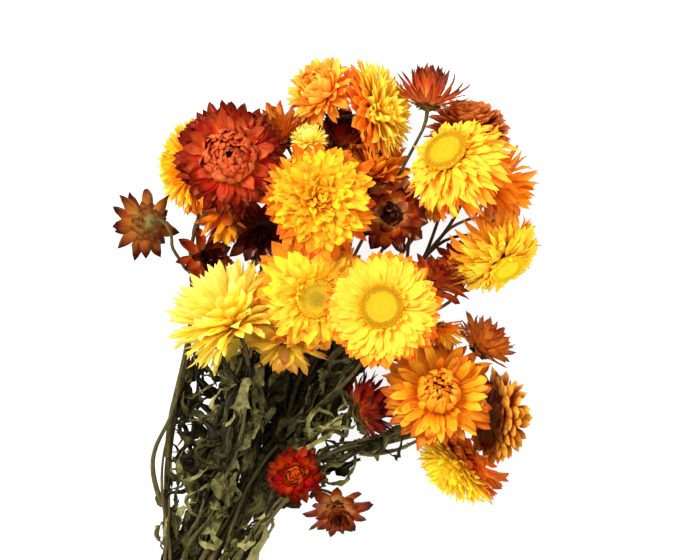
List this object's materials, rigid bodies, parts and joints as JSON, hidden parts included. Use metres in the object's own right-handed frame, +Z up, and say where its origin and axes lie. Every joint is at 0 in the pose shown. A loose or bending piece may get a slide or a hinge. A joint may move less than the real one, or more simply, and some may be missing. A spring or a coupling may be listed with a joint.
{
  "type": "dried strawflower bunch",
  "caption": "Lying bunch of dried strawflowers: papery yellow, orange and dark red heads on branching stems with shrivelled leaves, held by a rubber band near the cut ends.",
  "frame": {"origin": "middle of the bunch's bounding box in plan, on the table that it lies on", "axes": "+Y runs from the cut stem ends towards the flower heads, +X is to the right as seen from above with the heads away from the viewer, and +Z is up from the table"},
  "size_m": [0.1952, 0.3306, 0.1047],
  "materials": {
    "lemon_bract": "satin",
    "gold_bract": "satin",
    "amber_bract": "satin",
    "rust_bract": "satin",
    "ember_bract": "satin",
    "crimson_bract": "satin",
    "mahogany_bract": "satin",
    "stem": "matte",
    "leaf": "matte",
    "rubber_band": "matte"
  },
  "bodies": {
    "root": {"head_amber_behind_mid": "amber_bract", "head_amber_double": "amber_bract", "head_amber_fan_right": "amber_bract", "head_amber_hung_left": "amber_bract", "head_amber_rest_right": "amber_bract", "head_amber_small_right": "amber_bract", "head_amber_top_left": "amber_bract", "head_amber_under_mid": "amber_bract", "head_black_plum_mid": "mahogany_bract", "head_crimson_mid_low": "crimson_bract", "head_ember_double": "ember_bract", "head_ember_rest_low": "ember_bract", "head_gold_back_right": "gold_bract", "head_gold_disc_mid": "gold_bract", "head_gold_disc_right": "gold_bract", "head_gold_double": "gold_bract", "head_gold_rest_top": "gold_bract", "head_gold_side_left": "gold_bract", "head_gold_under_front": "gold_bract", "head_lemon_back_left": "lemon_bract", "head_lemon_crest_top": "lemon_bract", "head_lemon_disc_front": "lemon_bract", "head_lemon_disc_right": "lemon_bract", "head_lemon_low_right": "lemon_bract", "head_lemon_rest_mid": "lemon_bract", "head_mahogany_left": "mahogany_bract", "head_mahogany_mid": "mahogany_bract", "head_plum_top_gap": "mahogany_bract", "head_rust_brush_right": "rust_bract", "head_rust_bud_top": "rust_bract", "head_rust_dome_top": "rust_bract", "head_rust_rest_left": "rust_bract", "head_rust_under_ember": "rust_bract", "leaves_front_high": "leaf", "leaves_front_left": "leaf", "leaves_front_low": "leaf", "leaves_front_mid": "leaf", "leaves_left_high": "leaf", "leaves_left_low": "leaf", "leaves_left_mid": "leaf", "leaves_right_high": "leaf", "leaves_right_low": "leaf", "leaves_right_mid": "leaf", "rubber_band": "rubber_band", "spray_crimson_low": "crimson_bract", "spray_ember_side_right": "ember_bract", "spray_rust_top_left": "rust_bract", "stem_amber_double": "stem", "stem_amber_top_left": "stem", "stem_ember_double": "stem", "stem_gold_disc_mid": "stem", "stem_gold_disc_right": "stem", "stem_gold_double": "stem", "stem_lemon_back_left": "stem", "stem_lemon_crest_top": "stem", "stem_lemon_disc_front": "stem", "stem_lemon_disc_right": "stem", "stem_lemon_low_right": "stem", "stem_mahogany_mid": "stem", "stem_rust_dome_top": "stem"}
  },
  "joints": []
}
